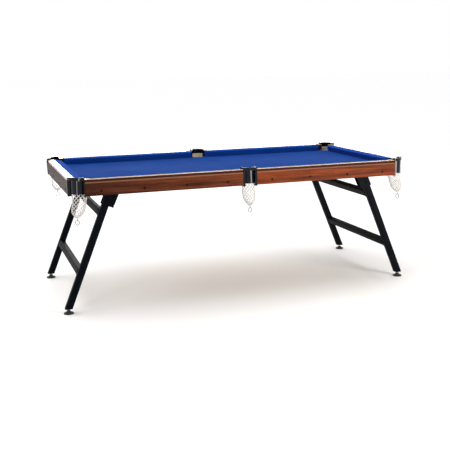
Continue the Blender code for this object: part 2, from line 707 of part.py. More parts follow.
def add_feet(table):
    pad = pad_mesh()
    stem = stem_mesh()
    for side_name, side in (("left", -1), ("right", 1)):
        for row_name, row in (("front", -1), ("back", 1)):
            name = f"{side_name}_{row_name}_foot"
            place = (side * (PIVOT_X + leg_offset(LEG_BOTTOM)), row * LEG_Y, 0.0)
            table.anchor(f"{name}_axis", place, f"{side_name}_leg_hinge")
            table.add(f"{name}_stem", stem, "zinc", place, anchor=f"{name}_axis")
            table.add(f"{name}_pad", pad, "rubber", place, anchor=f"{name}_axis")


def main():
    clear_scene()
    table = Table()
    add_bed(table)
    add_beams(table)
    add_aprons(table)
    add_rails(table)
    add_cushions(table)
    add_pockets(table)
    add_leg_frames(table)
    add_feet(table)


main()
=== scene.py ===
"""Looks of the folding pool table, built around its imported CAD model."""
import math
import random

import bmesh
import bpy
from mathutils import Matrix, Vector


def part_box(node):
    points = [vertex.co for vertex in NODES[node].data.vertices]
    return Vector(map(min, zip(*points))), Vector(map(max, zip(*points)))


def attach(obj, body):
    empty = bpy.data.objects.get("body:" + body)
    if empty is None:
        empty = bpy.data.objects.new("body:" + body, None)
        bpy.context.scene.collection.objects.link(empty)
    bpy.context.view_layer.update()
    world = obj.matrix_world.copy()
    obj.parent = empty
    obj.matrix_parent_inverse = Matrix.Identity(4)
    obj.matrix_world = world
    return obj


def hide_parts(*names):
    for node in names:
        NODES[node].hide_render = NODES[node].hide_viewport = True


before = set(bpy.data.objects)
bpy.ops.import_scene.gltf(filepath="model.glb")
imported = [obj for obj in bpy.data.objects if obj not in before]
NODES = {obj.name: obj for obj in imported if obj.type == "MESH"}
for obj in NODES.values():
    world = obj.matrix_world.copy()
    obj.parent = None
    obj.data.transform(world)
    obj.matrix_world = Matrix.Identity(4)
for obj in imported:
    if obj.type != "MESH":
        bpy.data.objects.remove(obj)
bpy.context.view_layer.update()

# ---- sizes read from the frame --------------------------------------------------------------
HALF_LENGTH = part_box("front_right_pocket_casting")[1].x
HALF_WIDTH = -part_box("front_right_pocket_casting")[0].y
CLOTH_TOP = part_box("bed_cloth")[1].z
RAIL_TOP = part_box("front_left_rail")[1].z
RAIL_EDGE = HALF_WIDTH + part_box("front_left_rail")[0].y
RAIL_INNER = HALF_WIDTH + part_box("front_left_rail")[1].y
RAIL_CORNER_END = HALF_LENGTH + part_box("front_left_rail")[0].x
RAIL_MIDDLE_END = -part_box("front_left_rail")[1].x
APRON_FACE = HALF_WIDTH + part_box("front_left_apron")[0].y
APRON_LOW, APRON_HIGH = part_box("front_left_apron")[0].z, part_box("front_left_apron")[1].z
NOSE_INSET = HALF_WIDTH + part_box("front_left_cushion")[1].y
CUSHION_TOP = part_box("front_left_cushion")[1].z
CUSHION_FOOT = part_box("front_left_cushion")[0].z
CORNER_INSET = HALF_LENGTH - sum(v.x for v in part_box("front_right_pocket_net")) / 2
MIDDLE_INSET = HALF_WIDTH + sum(v.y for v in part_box("front_middle_pocket_net")) / 2
NET_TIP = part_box("front_middle_pocket_net")[0].z
NET_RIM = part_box("front_middle_pocket_casting")[0].z + 0.020     # 20 mm up inside the castings
LEG_LOW, LEG_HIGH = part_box("right_front_leg")[0].z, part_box("right_front_leg")[1].z

# ---- sizes of the finer work ----------------------------------------------------------------
CLOTH_LAP = 0.010                # how far the cushions' cloth laps over the rails
CORNER_NOSE_INSET = 0.165        # cushion ends, as in the CAD model
CORNER_BACK_INSET = 0.116
MIDDLE_NOSE_HALF = 0.0590
MIDDLE_BACK_HALF = 0.0500
CORNER_MOUTH = 0.0436            # radii of the castings' mouths
MIDDLE_MOUTH = 0.038
SHEET_THICKNESS = 0.0007         # the bed cloth, and the webbing in the mouths
LEG_LEAN = 0.406                 # level travel of a leg for each metre of height
TUBE = 0.040                     # side of the square tube of legs and crossbars
TUBE_WALL = 0.002
TUBE_ROUNDING = 0.005
PLATE_THICKNESS = 0.0045         # the brackets' top plates
PLATE_EDGE = 0.006               # from a plate's edge to its bolts
FIXING_GAP = 0.0002              # offset of a fixing from the face it belongs to

SIDES = {
    "front": (Vector((0.0, -HALF_WIDTH, 0.0)), 0.0, HALF_LENGTH),
    "back": (Vector((0.0, HALF_WIDTH, 0.0)), 180.0, HALF_LENGTH),
    "left": (Vector((-HALF_LENGTH, 0.0, 0.0)), -90.0, HALF_WIDTH),
    "right": (Vector((HALF_LENGTH, 0.0, 0.0)), 90.0, HALF_WIDTH),
}
RUNS = {
    "front": ("front_left", "front_right"),
    "back": ("back_right", "back_left"),
    "left": ("left",),
    "right": ("right",),
}
POCKETS = ("front_left", "front_right", "back_right", "back_left", "front_middle", "back_middle")


# ---- camera, light and floor ----------------------------------------------------------------
WHITE = (1.0, 1.0, 1.0)


def add_camera():
    """A long lens to the left of the table's middle, a little above it and turned to the right."""
    yaw, pitch, roll = math.radians(19.85), math.radians(11.51), math.radians(-0.85)
    ahead = Vector((math.sin(yaw) * math.cos(pitch), math.cos(yaw) * math.cos(pitch), -math.sin(pitch)))
    level = Vector((math.cos(yaw), -math.sin(yaw), 0.0))
    upright = level.cross(ahead)
    right = level * math.cos(roll) + upright * math.sin(roll)
    up = upright * math.cos(roll) - level * math.sin(roll)
    eye_x, eye_y, eye_z = -1.642, -5.106, 1.445
    data = bpy.data.cameras.new("camera")
    data.sensor_width = 36.0
    data.lens = 65.35
    data.shift_x = -0.0556
    camera = bpy.data.objects.new("camera", data)
    camera.matrix_world = Matrix((
        (right.x, up.x, -ahead.x, eye_x),
        (right.y, up.y, -ahead.y, eye_y),
        (right.z, up.z, -ahead.z, eye_z),
        (0.0, 0.0, 0.0, 1.0),
    ))
    bpy.context.scene.collection.objects.link(camera)
    bpy.context.scene.camera = camera


def add_softbox(name, place, target, size, energy, colour=WHITE):
    """An area light, size wide and high, turned to its target and hidden from the camera."""
    data = bpy.data.lights.new(name, "AREA")
    data.shape = "RECTANGLE"
    data.size, data.size_y = size
    data.energy = energy
    data.color = colour
    light = bpy.data.objects.new(name, data)
    light.location = place
    light.rotation_euler = (Vector(target) - Vector(place)).to_track_quat("-Z", "Y").to_euler()
    light.visible_camera = False
    bpy.context.scene.collection.objects.link(light)


def add_studio():
    """A white room: bright to look at, dimmer as a light, with a soft sun and four softboxes."""
    seen_strength, cast_strength = 1.0, 0.42
    floor_half_size = 60.0
    world = bpy.data.worlds.new("studio")
    world.use_nodes = True
    tree = world.node_tree
    seen = tree.nodes["Background"]
    seen.inputs["Color"].default_value = (*WHITE, 1.0)
    seen.inputs["Strength"].default_value = seen_strength
    cast = tree.nodes.new("ShaderNodeBackground")
    cast.inputs["Color"].default_value = (*WHITE, 1.0)
    cast.inputs["Strength"].default_value = cast_strength
    choice = tree.nodes.new("ShaderNodeMixShader")
    tree.links.new(tree.nodes.new("ShaderNodeLightPath").outputs["Is Camera Ray"], choice.inputs["Fac"])
    tree.links.new(cast.outputs["Background"], choice.inputs[1])
    tree.links.new(seen.outputs["Background"], choice.inputs[2])
    tree.links.new(choice.outputs["Shader"], tree.nodes["World Output"].inputs["Surface"])
    bpy.context.scene.world = world
    bpy.context.scene.view_settings.view_transform = "Standard"

    sun = bpy.data.lights.new("sun", "SUN")
    sun.energy = 2.25
    sun.angle = math.radians(80)
    lamp = bpy.data.objects.new("sun", sun)
    lamp.rotation_euler = Vector((0.35, -0.35, -1.0)).to_track_quat("-Z", "Y").to_euler()
    bpy.context.scene.collection.objects.link(lamp)

    add_softbox("key_softbox", (2.1, -3.4, 0.85), (0.7, -0.5, 0.75), (1.2, 1.6), 134.0, (1.0, 0.93, 0.86))
    add_softbox("left_softbox", (-3.3, -3.1, 0.85), (-1.0, -0.5, 0.72), (0.55, 1.6), 40.0)
    add_softbox("rear_softbox", (-0.75, 6.0, 1.75), (-0.75, 0.0, 0.8), (1.1, 1.7), 58.0)
    add_softbox("rear_strip", (1.9, 6.2, 1.28), (0.7, 0.0, 0.8), (5.6, 0.55), 52.0)

    bm = bmesh.new()
    bmesh.ops.create_grid(bm, x_segments=1, y_segments=1, size=floor_half_size)
    mesh = bpy.data.meshes.new("floor")
    bm.to_mesh(mesh)
    bm.free()
    floor = bpy.data.objects.new("floor", mesh)
    bpy.context.scene.collection.objects.link(floor)
    material = bpy.data.materials.new("floor")
    material.use_nodes = True
    shader = material.node_tree.nodes["Principled BSDF"]
    shader.inputs["Base Color"].default_value = (0.95, 0.95, 0.95, 1.0)
    shader.inputs["Roughness"].default_value = 0.95
    shader.inputs["Specular IOR Level"].default_value = 0.1
    floor.data.materials.append(material)


# ---- procedural materials -------------------------------------------------------------------
class Shader:
    """A material under construction: adds nodes and joins them."""

    def __init__(self, name, roughness, metallic=0.0, specular=0.5):
        self.material = bpy.data.materials.new(name)
        self.material.use_nodes = True
        self.tree = self.material.node_tree
        self.surface = self.tree.nodes["Principled BSDF"]
        self.surface.inputs["Roughness"].default_value = roughness
        self.surface.inputs["Metallic"].default_value = metallic
        self.surface.inputs["Specular IOR Level"].default_value = specular
        self.place = self.tree.nodes.new("ShaderNodeTexCoord").outputs["Object"]

    def join(self, source, target):
        self.tree.links.new(source, target)

    def node(self, kind, settings=(), **inputs):
        made = self.tree.nodes.new(kind)
        for name, value in settings:
            setattr(made, name, value)
        for name, value in inputs.items():
            socket = made.inputs[name.replace("_", " ")]
            if isinstance(value, bpy.types.NodeSocket):
                self.join(value, socket)
            else:
                socket.default_value = value
        return made

    def noise(self, scale, detail=3.0, stretch=(1.0, 1.0, 1.0), roughness=0.5, distortion=0.0):
        moved = self.node("ShaderNodeMapping", Vector=self.place, Scale=stretch)
        made = self.node("ShaderNodeTexNoise", Vector=moved.outputs["Vector"], Scale=scale, Detail=detail,
                         Roughness=roughness, Distortion=distortion)
        return made.outputs["Fac"]

    def ramp(self, factor, stops):
        """Colours by value; each stop is (position, (r, g, b))."""
        made = self.node("ShaderNodeValToRGB", Fac=factor)
        elements = made.color_ramp.elements
        while len(elements) < len(stops):
            elements.new(0.5)
        for element, (position, colour) in zip(elements, stops):
            element.position = position
            element.color = (*colour, 1.0)
        return made.outputs["Color"]

    def grey(self, factor, low, high, start=0.0, end=1.0):
        made = self.node("ShaderNodeMapRange", Value=factor, From_Min=start, From_Max=end, To_Min=low,
                         To_Max=high)
        return made.outputs["Result"]

    def mix(self, factor, first, second, blend="MIX"):
        made = self.tree.nodes.new("ShaderNodeMix")
        made.data_type = "RGBA"
        made.blend_type = blend
        for socket, value in zip((made.inputs[0], made.inputs[6], made.inputs[7]), (factor, first, second)):
            if isinstance(value, bpy.types.NodeSocket):
                self.join(value, socket)
            elif isinstance(value, tuple):
                socket.default_value = (*value, 1.0)
            else:
                socket.default_value = value
        return made.outputs[2]

    def maths(self, operation, first, second):
        made = self.tree.nodes.new("ShaderNodeMath")
        made.operation = operation
        for socket, value in zip(made.inputs, (first, second)):
            if isinstance(value, bpy.types.NodeSocket):
                self.join(value, socket)
            else:
                socket.default_value = value
        return made.outputs["Value"]

    def paint(self, colour):
        self.join(colour, self.surface.inputs["Base Color"])

    def rough(self, value):
        self.join(value, self.surface.inputs["Roughness"])

    def bump(self, height, distance, strength=1.0):
        made = self.node("ShaderNodeBump", Height=height, Strength=strength, Distance=distance)
        self.join(made.outputs["Normal"], self.surface.inputs["Normal"])


def cloth_material(name, dark, light):
    """Napped billiard cloth: fine fibres, slow changes of tone and a soft sheen."""
    shade = Shader(name, 0.95, specular=0.04)
    shade.surface.inputs["Sheen Weight"].default_value = 0.03
    shade.surface.inputs["Sheen Roughness"].default_value = 0.5
    shade.surface.inputs["Sheen Tint"].default_value = (0.35, 0.5, 1.0, 1.0)
    fibres = shade.noise(1400.0, 4.0, stretch=(1.0, 0.45, 1.0))
    patches = shade.noise(5.0, 4.0)
    tone = shade.maths("ADD", shade.maths("MULTIPLY", fibres, 0.55), shade.maths("MULTIPLY", patches, 0.45))
    shade.paint(shade.ramp(tone, [(0.30, dark), (0.70, light)]))
    threads = [shade.node("ShaderNodeTexWave", [("bands_direction", axis)], Vector=shade.place, Scale=620.0,
                          Distortion=1.5, Detail=1.0).outputs["Fac"] for axis in "XY"]
    weave = shade.maths("MULTIPLY", *threads)
    shade.bump(shade.maths("ADD", weave, fibres), 0.00035, 0.6)
    return shade.material


def grain(shade, axis):
    """Wood grain along X or Y: broad figure and narrow pores."""
    stretches = []
    for along, across in ((0.9, 26.0), (7.0, 420.0)):
        stretches.append((along, across, across) if axis == "X" else (across, along, across))
    broad = shade.noise(1.0, 6.0, stretches[0], roughness=0.62, distortion=0.9)
    fine = shade.noise(1.0, 3.0, stretches[1], roughness=0.7)
    return broad, fine


def apron_material(axis, tone=1.0, painted_shade_end=1.0, warmth=1.0):
    """Red-brown mahogany print under a satin lacquer, with darker pores.

    tone scales the colour of a whole board, and warmth moves it from brown to orange.
    The end share, below 1, leaves that much red at the table's low X end as painted shade, and adds a painted
    shadow at the foot.
    """
    shade = Shader(f"apron_laminate_{axis}_{round(100 * tone)}", 0.38, specular=0.022)
    broad, fine = grain(shade, axis)
    figure = [(0.30, (0.038, 0.009, 0.004)), (0.46, (0.088, 0.021, 0.0075)),
              (0.62, (0.150, 0.036, 0.0125)), (0.78, (0.070, 0.017, 0.006))]
    tint = (tone * warmth, tone, tone / warmth)
    tinted = [(place, tuple(a * b for a, b in zip(tint, colour))) for place, colour in figure]
    base = shade.ramp(broad, tinted)
    pores = shade.grey(fine, 0.45, 1.0, 0.36, 0.56)
    grain_and_painted_shade = shade.mix(1.0, base, shade.ramp(pores, [(0.45, (0.45, 0.40, 0.38)), (1.0, WHITE)]), "MULTIPLY")
    position = shade.node("ShaderNodeSeparateXYZ", Vector=shade.place)
    if painted_shade_end < 1.0:
        # painted shade: towards the table's low X end the board darkens and turns bluish
        along = shade.grey(position.outputs["X"], 0.0, 1.0, -HALF_LENGTH, -0.22 * HALF_LENGTH)
        ends = [(0.0, (painted_shade_end, painted_shade_end * 1.35, painted_shade_end * 2.1)), (1.0, WHITE)]
        grain_and_painted_shade = shade.mix(1.0, grain_and_painted_shade, shade.ramp(along, ends), "MULTIPLY")
        # painted shadow: a near-black band along the board's foot
        shadow = shade.grey(position.outputs["Z"], 0.75, 0.0, APRON_LOW + 0.002, APRON_LOW + 0.007)
        grain_and_painted_shade = shade.mix(shadow, grain_and_painted_shade, (0.010, 0.003, 0.002))
    # painted highlight: the top 10 mm of the board blend to a pale red-brown, for light caught on its rounded
    # top edge
    edge = shade.grey(position.outputs["Z"], 0.0, 0.35 * tone ** 2, APRON_HIGH - 0.010, APRON_HIGH - 0.001)
    shade.paint(shade.mix(edge, grain_and_painted_shade, (0.42, 0.20, 0.12)))
    shade.rough(shade.grey(fine, 0.30, 0.46))
    shade.bump(fine, 0.0002, 0.35)
    return shade.material


def rail_material(axis, side_roughness):
    """Glossy tan laminate on top, dark brown on the upright faces."""
    top_roughness = 0.16
    edge_low, edge_high = RAIL_TOP - 0.0011, RAIL_TOP - 0.0007
    shade = Shader(f"rail_laminate_{axis}", top_roughness, specular=0.14)
    broad, fine = grain(shade, axis)
    top = shade.ramp(broad, [(0.30, (0.36, 0.23, 0.12)), (0.50, (0.52, 0.36, 0.20)),
                             (0.72, (0.60, 0.44, 0.27))])
    top = shade.mix(0.35, top, shade.ramp(fine, [(0.38, (0.30, 0.19, 0.10)), (0.60, (0.62, 0.46, 0.28))]))
    side = shade.ramp(broad, [(0.30, (0.020, 0.0035, 0.003)), (0.70, (0.042, 0.008, 0.006))])
    height = shade.node("ShaderNodeSeparateXYZ", Vector=shade.place).outputs["Z"]
    shade.paint(shade.mix(shade.grey(height, 0.0, 1.0, edge_low, edge_high), side, top))
    shade.rough(shade.grey(height, side_roughness, top_roughness, edge_low, edge_high))
    shade.bump(fine, 0.00006, 0.25)
    return shade.material


def board_material():
    """Raw fibreboard: short felted fibres in a plain brown."""
    shade = Shader("fibreboard", 0.85, specular=0.2)
    fibres = shade.noise(420.0, 5.0, (1.0, 0.6, 1.0), roughness=0.7)
    patches = shade.noise(9.0, 3.0)
    tone = shade.maths("ADD", shade.maths("MULTIPLY", fibres, 0.7), shade.maths("MULTIPLY", patches, 0.3))
    shade.paint(shade.ramp(tone, [(0.34, (0.22, 0.14, 0.075)), (0.66, (0.42, 0.30, 0.18))]))
    shade.bump(fibres, 0.0003, 0.5)
    return shade.material


def steel_material():
    """Black powder coat with its fine orange peel, a little paler here and there from wear."""
    shade = Shader("powder_coat", 0.42, specular=0.02)
    peel = shade.noise(900.0, 2.0)
    wear = shade.noise(14.0, 5.0, roughness=0.65)
    shade.paint(shade.ramp(wear, [(0.35, (0.0014, 0.0022, 0.0036)), (0.75, (0.0030, 0.0040, 0.0062))]))
    shade.rough(shade.grey(wear, 0.36, 0.52))
    shade.bump(peel, 0.00012, 0.5)
    return shade.material


def plastic_material(name, colour, roughness, texture, specular=0.5):
    """Moulded plastic: a faint flow texture, and a roughness that varies with handling."""
    shade = Shader(name, roughness, specular=specular)
    cloud = shade.noise(45.0, 4.0)
    lighter = tuple(1.6 * c + 0.002 for c in colour)
    shade.paint(shade.ramp(cloud, [(0.35, colour), (0.80, lighter)]))
    shade.rough(shade.grey(cloud, roughness * 0.8, roughness * 1.3))
    shade.bump(shade.noise(700.0, 2.0), texture, 0.5)
    return shade.material


def metal_material(name, dark, light, roughness, thread=0.0):
    """Plated steel: brushed tone, and turned rings where thread gives their pitch."""
    shade = Shader(name, roughness, metallic=1.0)
    cloud = shade.noise(120.0, 4.0)
    shade.paint(shade.ramp(cloud, [(0.35, dark), (0.70, light)]))
    shade.rough(shade.grey(cloud, roughness * 0.8, roughness * 1.3))
    if thread:
        rings = shade.node("ShaderNodeTexWave", [("bands_direction", "Z")], Vector=shade.place,
                           Scale=2 * math.pi / thread / 20).outputs["Fac"]
        shade.bump(rings, 0.0006, 0.9)
    return shade.material


def cord_material():
    """Twisted cotton cord, off-white, with painted shade greying the hollows of its twist."""
    shade = Shader("net_cord", 0.9, specular=0.15)
    twist = shade.node("ShaderNodeTexWave", [("bands_direction", "DIAGONAL")], Vector=shade.place,
                       Scale=420.0, Distortion=3.0, Detail=2.0).outputs["Fac"]
    # painted shade: the colour follows the twist, greyer in its hollows
    shade.paint(shade.ramp(twist, [(0.0, (0.38, 0.362, 0.342)), (0.6, (0.70, 0.675, 0.645))]))
    shade.bump(twist, 0.0004, 0.6)
    return shade.material


def webbing_material():
    """Cream webbing with a close diagonal weave."""
    shade = Shader("cream_webbing", 0.85, specular=0.2)
    weave = shade.node("ShaderNodeTexWave", [("bands_direction", "DIAGONAL")], Vector=shade.place,
                       Scale=300.0, Distortion=0.6).outputs["Fac"]
    shade.paint(shade.ramp(weave, [(0.1, (0.42, 0.37, 0.29)), (0.8, (0.66, 0.60, 0.49))]))
    shade.bump(weave, 0.0003, 0.6)
    return shade.material


def make_materials():
    return {
        "cloth": cloth_material("billiard_cloth", (0.004, 0.040, 0.230), (0.010, 0.064, 0.322)),
        "cushion": cloth_material("cushion_cloth", (0.004, 0.050, 0.300), (0.009, 0.078, 0.405)),
        "apron_X": apron_material("X", 1.22, warmth=1.12),
        # the front-left apron: a copy of the long aprons' laminate with painted shade at its low X end and a
        # painted shadow at its foot
        "apron_X_painted_shade": apron_material("X", 1.18, painted_shade_end=0.34, warmth=0.90),
        # the end aprons: the same laminate at about a third of the tone, painted shade for the dim light on
        # the table's ends
        "apron_Y": apron_material("Y", 0.35),
        "rail_X": rail_material("X", 0.85),
        "rail_Y": rail_material("Y", 0.08),
        "board": board_material(),
        "steel": steel_material(),
        "casting": plastic_material("casting_plastic", (0.0016, 0.0019, 0.0048), 0.12, 0.00001,
                                    specular=0.21),
        "knob": plastic_material("knob_plastic", (0.010, 0.010, 0.011), 0.5, 0.0002),
        "rubber": plastic_material("foot_rubber", (0.008, 0.008, 0.008), 0.7, 0.0002),
        "zinc": metal_material("zinc_plate", (0.38, 0.38, 0.36), (0.60, 0.60, 0.58), 0.32, thread=0.0015),
        "screw": metal_material("blackened_screw", (0.004, 0.0035, 0.004), (0.012, 0.010, 0.011), 0.45),
        "brass": metal_material("trim_brass", (0.55, 0.36, 0.12), (0.80, 0.58, 0.26), 0.30),
        "cord": cord_material(),
        "ring": plastic_material("ring_plastic", (0.07, 0.07, 0.075), 0.4, 0.00005, specular=0.3),
        "webbing": webbing_material(),
    }


# ---- building helpers -----------------------------------------------------------------------
def make_piece(name, mesh, material, body, smooth_angle):
    """An object from a mesh, riding a body; edges sharper than smooth_angle stay hard."""
    mesh.materials.clear()
    mesh.materials.append(MATERIALS[material])
    mesh.shade_smooth()
    mesh.set_sharp_from_angle(angle=math.radians(smooth_angle))
    piece = bpy.data.objects.new(name, mesh)
    bpy.context.scene.collection.objects.link(piece)
    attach(piece, body)
    return piece


def finished(bm, name):
    """A mesh from a bmesh, with its faces turned outwards."""
    bmesh.ops.recalc_face_normals(bm, faces=bm.faces)
    mesh = bpy.data.meshes.new(name)
    bm.to_mesh(mesh)
    bm.free()
    return mesh


def loft(bm, rings, capped=True):
    """Faces between rings of points, each ring closed, with the end rings filled."""
    made = [[bm.verts.new(point) for point in ring] for ring in rings]
    for first, second in zip(made, made[1:]):
        for i in range(len(first)):
            j = (i + 1) % len(first)
            bm.faces.new((first[i], first[j], second[j], second[i]))
    if capped:
        bm.faces.new(made[0][::-1])
        bm.faces.new(made[-1])
    return made


def bevel_edges(bm, width, segments, least_angle):
    limit = math.radians(least_angle)
    edges = [e for e in bm.edges if len(e.link_faces) == 2 and e.calc_face_angle(0.0) > limit]
    bmesh.ops.bevel(bm, geom=edges, offset=width, segments=segments, affect="EDGES", profile=0.5,
                    clamp_overlap=True)


def arc(centre, radius, start, end, count):
    """Points along an arc, from one angle in degrees to the other, both included."""
    points = []
    for i in range(count + 1):
        angle = math.radians(start + (end - start) * i / count)
        points.append((centre[0] + radius * math.cos(angle), centre[1] + radius * math.sin(angle)))
    return points


def side_matrix(side):
    """From a side's own frame, x along it and y inwards from its outer face, to the table's."""
    place, turn, _ = SIDES[side]
    return Matrix.Translation(place) @ Matrix.Rotation(math.radians(turn), 4, "Z")


def pocket_centre(name):
    low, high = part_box(f"{name}_pocket_net")
    return (low + high) / 2


def soften(node, width, segments=2):
    """Round a CAD node's sharp edges with modifiers; its mesh stays as packed."""
    thing = NODES[node]
    weld = thing.modifiers.new("weld", "WELD")
    weld.merge_threshold = 0.00002
    bevel = thing.modifiers.new("edges", "BEVEL")
    bevel.width = width
    bevel.segments = segments
    bevel.limit_method = "ANGLE"
    bevel.angle_limit = math.radians(40)
    normals = thing.modifiers.new("normals", "WEIGHTED_NORMAL")
    normals.keep_sharp = True
    thing.data.shade_smooth()


def dress(node, material):
    """Give a CAD node one of the materials."""
    data = NODES[node].data
    data.materials.clear()
    data.materials.append(MATERIALS[material])


def thicken(sheet):
    """Give a sheet its thickness, behind its outer face."""
    thick = sheet.modifiers.new("thickness", "SOLIDIFY")
    thick.thickness = SHEET_THICKNESS
    thick.offset = -1.0


# ---- bed cloth and cushions -----------------------------------------------------------------
def add_bed_cloth():
    """The cloth, cut round the six pockets and turned down over the edge of the bed in each."""
    edge = RAIL_INNER + 0.0006       # just clear of the rails
    lip_gap = 0.0038                 # between the hanging cloth and a casting's mouth
    turn_down = 0.0025               # radius of the bend over the bed's edge
    skirt = 0.0125                   # depth of the hanging cloth
    corner_radius = CORNER_MOUTH + lip_gap + turn_down
    middle_radius = MIDDLE_MOUTH + lip_gap + turn_down
    corner_angle = math.degrees(math.asin((CORNER_INSET - edge) / corner_radius))
    middle_angle = math.degrees(math.asin((edge - MIDDLE_INSET) / middle_radius))
    notches = [
        ("front_left", corner_radius, 90 + corner_angle, -corner_angle),
        ("front_middle", middle_radius, 180 - middle_angle, middle_angle),
        ("front_right", corner_radius, 180 + corner_angle, 90 - corner_angle),
        ("back_right", corner_radius, 270 + corner_angle, 180 - corner_angle),
        ("back_middle", middle_radius, 360 - middle_angle, 180 + middle_angle),
        ("back_left", corner_radius, 360 + corner_angle, 270 - corner_angle),
    ]
    bm = bmesh.new()
    outline, lips = [], []
    for name, radius, start, end in notches:
        centre = pocket_centre(name)
        rim = arc((centre.x, centre.y), radius, start, end, 20)
        verts = [bm.verts.new((x, y, CLOTH_TOP)) for x, y in rim]
        outline += verts
        lips.append((centre, radius, rim, verts))
    top = bm.faces.new(outline)
    bmesh.ops.triangulate(bm, faces=[top])
    drops = [(turn_down * math.sin(math.radians(a)), turn_down * (1 - math.cos(math.radians(a))))
             for a in (30, 60, 90)] + [(turn_down, skirt)]
    for centre, radius, rim, previous in lips:
        for inwards, down in drops:
            scale = (radius - inwards) / radius
            ring = [bm.verts.new((centre.x + (x - centre.x) * scale, centre.y + (y - centre.y) * scale,
                                  CLOTH_TOP - down)) for x, y in rim]
            for i in range(len(ring) - 1):
                bm.faces.new((previous[i], previous[i + 1], ring[i + 1], ring[i]))
            previous = ring
    mesh = finished(bm, "bed_cloth_sheet")
    cloth = make_piece("bed_cloth_sheet", mesh, "cloth", "table", 60.0)
    thicken(cloth)
    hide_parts("bed_cloth")


def cushion_profile():
    """Back, cloth top lapped over the rail, rounded nose and undercut face, as (inset, height)."""
    back = RAIL_INNER + 0.0004
    lap_edge, lap_foot = RAIL_INNER - CLOTH_LAP, RAIL_TOP + 0.0003
    nose_radius = 0.0042
    nose_centre = (NOSE_INSET - nose_radius, CUSHION_TOP - 0.0010 - nose_radius)
    points = [
        (back, CUSHION_FOOT), (back, lap_foot), (lap_edge + 0.0005, lap_foot),
        (lap_edge, lap_foot + 0.0005), (lap_edge + 0.0012, lap_foot + 0.0011),
        (back - 0.002, lap_foot + 0.0012), (back + 0.004, lap_foot + 0.0010),
        (back + 0.014, CUSHION_TOP + 0.0003),
    ]
    points += arc(nose_centre, nose_radius, 84, -52, 8)
    points += [(back + 0.019, CUSHION_FOOT + 0.010), (back + 0.0125, CUSHION_FOOT + 0.002),
               (back + 0.012, CUSHION_FOOT)]
    return points


def cushion_ends(half, index, count, inset):
    """Where a cushion starts and ends along its side; its ends slant towards the nose."""
    share = max(0.0, inset - RAIL_INNER) / (NOSE_INSET - RAIL_INNER)
    corner = half - (CORNER_BACK_INSET + (CORNER_NOSE_INSET - CORNER_BACK_INSET) * share)
    middle = MIDDLE_BACK_HALF + (MIDDLE_NOSE_HALF - MIDDLE_BACK_HALF) * share
    if count == 1:
        return -corner, corner
    return (-corner, -middle) if index == 0 else (middle, corner)


def add_cushions():
    """Cloth-covered cushions, lofted along each run in even steps, with rounded ends."""
    profile = cushion_profile()
    steps = 24
    end_rounding = 0.0016
    for side, names in RUNS.items():
        for index, name in enumerate(names):
            spans = [cushion_ends(SIDES[side][2], index, len(names), inset) for inset, _ in profile]
            rings = []
            for step in range(steps + 1):
                share = step / steps
                rings.append([Vector((start + (end - start) * share, inset, height))
                              for (start, end), (inset, height) in zip(spans, profile)])
            bm = bmesh.new()
            made = loft(bm, rings)
            ends = set(made[0] + made[-1])
            rim = [e for e in bm.edges if e.verts[0] in ends and e.verts[1] in ends]
            bmesh.ops.bevel(bm, geom=rim, offset=end_rounding, segments=3, affect="EDGES", profile=0.5,
                            clamp_overlap=True)
            bm.transform(side_matrix(side))
            mesh = finished(bm, "cushion")
            piece = make_piece(f"{name}_cushion_cover", mesh, "cushion", "table", 55.0)
            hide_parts(f"{name}_cushion")


# ---- pocket nets ----------------------------------------------------------------------------
NET_COLUMNS = 12
NET_ROWS = 13
NET_SEED = 11                    # of the first net's random draws; the others count on from it
FULL_SHARE, DRAWN_SHARE = 0.66, 0.34     # how much of the depth is full, and how much drawn in
NECK = 0.955                     # radius of the bag at its rim, as a share of its full radius
TIP_RADIUS = 0.0035
CORD_RADIUS = 0.00145
CORD_SAG = 0.0006                # of a cord between two knots
KNOT_HALF = 0.0017               # half of a knot's height
RIM_STEPS = 42
RING_CORD = 0.0020               # half the thickness of a pull ring and its string
RING_RADIUS = 0.0130
RING_DROP = 0.0240               # from a net's tip to the middle of its ring
RING_STEPS = 28
NET_HANGS = {                    # where each bag's tip leans, how slack its sides are, how high it stops
    "front_left": ((-0.021, 0.003), 0.16, 0.0),
    "front_right": ((0.034, -0.004), 0.34, 0.010),
    "back_right": ((0.006, 0.008), 0.12, 0.006),
    "back_left": ((-0.004, 0.005), 0.18, 0.010),
    "front_middle": ((0.009, -0.003), 0.06, 0.0),
    "back_middle": ((-0.004, 0.005), 0.10, 0.004),
}


def net_radius(share, mouth):
    """The bag's radius from its rim, share 0, to its tip, share 1: full, then quickly drawn in."""
    full = mouth + 0.0012
    if share < FULL_SHARE:
        return full * (NECK + 0.06 * math.sin(math.pi * share / FULL_SHARE))
    drawn = (share - FULL_SHARE) / DRAWN_SHARE
    return TIP_RADIUS + (full * NECK - TIP_RADIUS) * (1 - drawn ** 1.3) ** 0.9


def net_point(centre, mouth, column, row, hang):
    """A knot of the net; the folds and the lean differ from one net to the next."""
    share = row / NET_ROWS
    angle = 2 * math.pi * column / NET_COLUMNS
    radius = net_radius(share, mouth)
    slack = math.sin(math.pi * min(1.0, share * 1.1))
    radius *= 1 + slack * (hang["fold"] * math.sin(3 * angle + hang["turn"])
                           + 0.5 * hang["fold"] * math.sin(5 * angle + 2 * hang["turn"] + 4 * share)
                           - hang["slim"] * math.cos(angle) ** 2)
    height = NET_RIM - (NET_RIM - NET_TIP - hang["raised"]) * share ** 0.94
    lean = share ** 1.15
    return Vector((centre.x + radius * math.cos(angle) + hang["lean"][0] * lean,
                   centre.y + radius * math.sin(angle) + hang["lean"][1] * lean, height))


def add_spline(curve, points, radii=None, closed=False):
    """A cord through the points; radii are shares of the curve's own cord radius."""
    spline = curve.splines.new("POLY")
    spline.points.add(len(points) - 1)
    for i, (target, point) in enumerate(zip(spline.points, points)):
        target.co = (*point, 1.0)
        target.radius = 1.0 if radii is None else radii[i]
    spline.use_cyclic_u = closed


